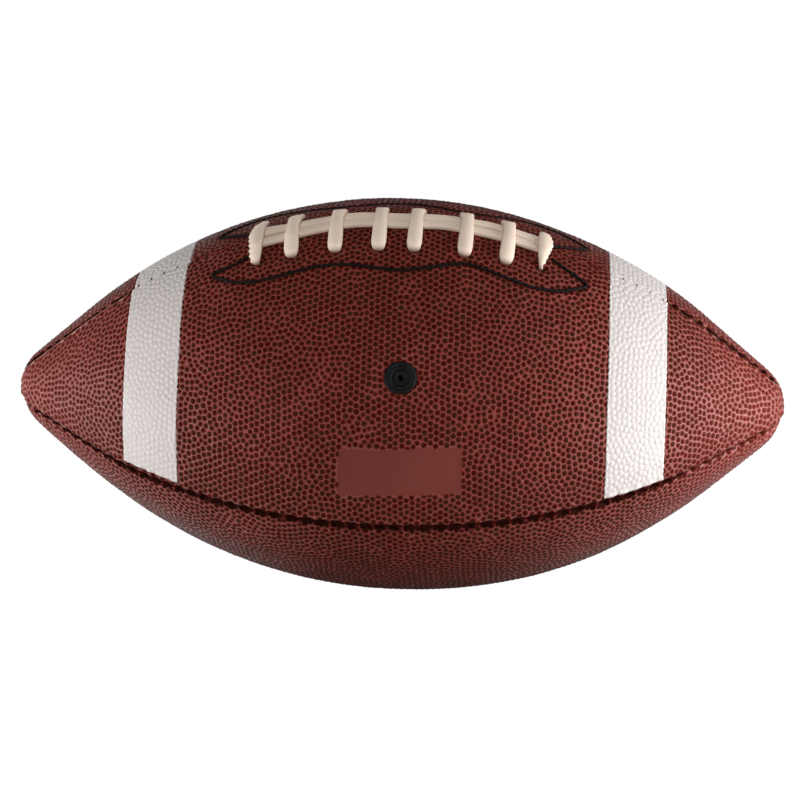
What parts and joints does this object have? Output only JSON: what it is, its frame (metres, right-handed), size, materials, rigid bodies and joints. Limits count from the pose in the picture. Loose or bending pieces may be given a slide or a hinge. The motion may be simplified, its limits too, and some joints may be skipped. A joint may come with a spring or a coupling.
{
  "type": "american football",
  "caption": "Laced american football: pebbled panels sewn over linings and a bladder, with white stripes, a cream lace and an inflation valve.",
  "frame": {"origin": "centre of the ball, midway between its two ends on the long axis", "axes": "+X along the ball, to the right in the picture; +Z out through the lacing; -Y out through the front seam, under the panel that has the valve"},
  "size_m": [0.28, 0.149, 0.1537],
  "materials": {
    "cover": "pebbled composite leather, semi-gloss",
    "lining": "plain woven cloth",
    "thread": "twisted black thread",
    "reinforcement": "coated cloth",
    "stripe": "white film pressed into the pebble",
    "lace": "coated cream lace",
    "bladder": "smooth butyl rubber",
    "valve_rubber": "moulded black rubber",
    "valve_insert_rubber": "soft black rubber"
  },
  "bodies": {
    "ball": {"panel_lace_front": "cover", "panel_lace_rear": "cover", "panel_lower_front": "cover", "panel_lower_rear": "cover", "lining_lace_front": "lining", "lining_lace_rear": "lining", "lining_lower_front": "lining", "lining_lower_rear": "lining", "seam_thread_front": "thread", "seam_thread_rear": "thread", "seam_thread_bottom": "thread", "seam_thread_lace_left": "thread", "seam_thread_lace_right": "thread", "lace_reinforcement_front": "reinforcement", "lace_reinforcement_rear": "reinforcement", "reinforcement_stitching_front": "thread", "reinforcement_stitching_rear": "thread", "stripe_front_left": "stripe", "stripe_front_right": "stripe", "stripe_rear_left": "stripe", "stripe_rear_right": "stripe", "lace": "lace", "lace_flap": "reinforcement", "bladder": "bladder", "valve_body": "valve_rubber"},
    "insert": {"valve_insert": "valve_insert_rubber"}
  },
  "joints": [
    {"name": "valve_insert_pull", "type": "slide", "parent": "ball", "child": "insert", "axis": [0.0196, -0.7383, 0.6742], "range_m": [0, 0.018]}
  ]
}
